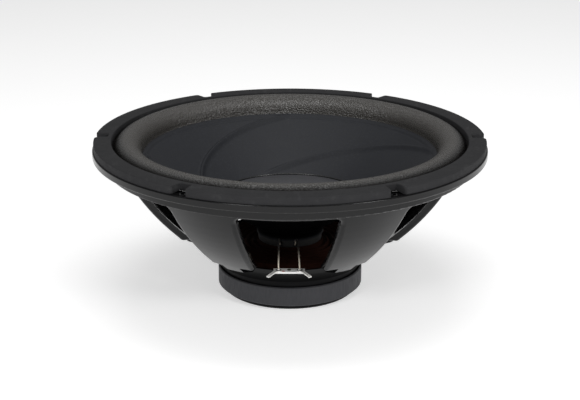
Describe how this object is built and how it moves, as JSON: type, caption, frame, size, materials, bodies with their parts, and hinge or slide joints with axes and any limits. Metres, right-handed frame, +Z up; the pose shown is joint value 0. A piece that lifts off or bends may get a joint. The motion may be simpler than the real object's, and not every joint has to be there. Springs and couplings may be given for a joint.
{
  "type": "car subwoofer speaker",
  "caption": "Round car subwoofer driver with a black pressed steel basket, raised gasket, half roll surround, dark cone with a domed dust cap, corrugated spider and ring magnet.",
  "frame": {"origin": "centre of the circle on which the flange's turned-down rim meets the baffle, on the speaker's axis", "axes": "+Z along the speaker's axis out of the cone, towards the listener; -Y towards the terminal board; +X to the right when looking at the terminal side with +Z up"},
  "size_m": [0.32, 0.32, 0.131],
  "materials": {
    "gloss_black_steel": "gloss",
    "gasket_foam": "matte",
    "surround_rubber": "satin",
    "cone_paper": "satin",
    "cap_paper": "satin",
    "former_foil": "satin",
    "coil_wire": "satin",
    "black_paper": "matte",
    "spider_cloth": "matte",
    "black_plated_steel": "satin",
    "ferrite": "matte",
    "rivet_steel": "satin",
    "board_laminate": "matte",
    "tinned_brass": "polished",
    "tinsel_braid": "satin",
    "solder": "polished"
  },
  "bodies": {
    "frame": {"basket": "gloss_black_steel", "mounting_gasket": "gasket_foam", "top_plate": "black_plated_steel", "magnet": "ferrite", "pole_yoke": "black_plated_steel", "basket_rivets": "rivet_steel", "terminal_board": "board_laminate", "board_rivet": "rivet_steel", "lug_eyelets": "tinned_brass", "negative_lug": "tinned_brass", "positive_lug": "tinned_brass"},
    "moving_cone": {"cone": "cone_paper", "dust_cap": "cap_paper", "voice_coil_former": "former_foil", "voice_coil_winding": "coil_wire", "former_collar": "black_paper", "lead_solder_pads": "solder", "surround": "surround_rubber", "spider": "spider_cloth", "negative_lead": "tinsel_braid", "positive_lead": "tinsel_braid"}
  },
  "joints": [
    {"name": "cone_travel", "type": "slide", "parent": "frame", "child": "moving_cone", "axis": [0, 0, 1], "range_m": [-0.009, 0.009], "stiffness_N_per_m": 2500, "deforming": ["surround", "spider", "negative_lead", "positive_lead"]}
  ]
}
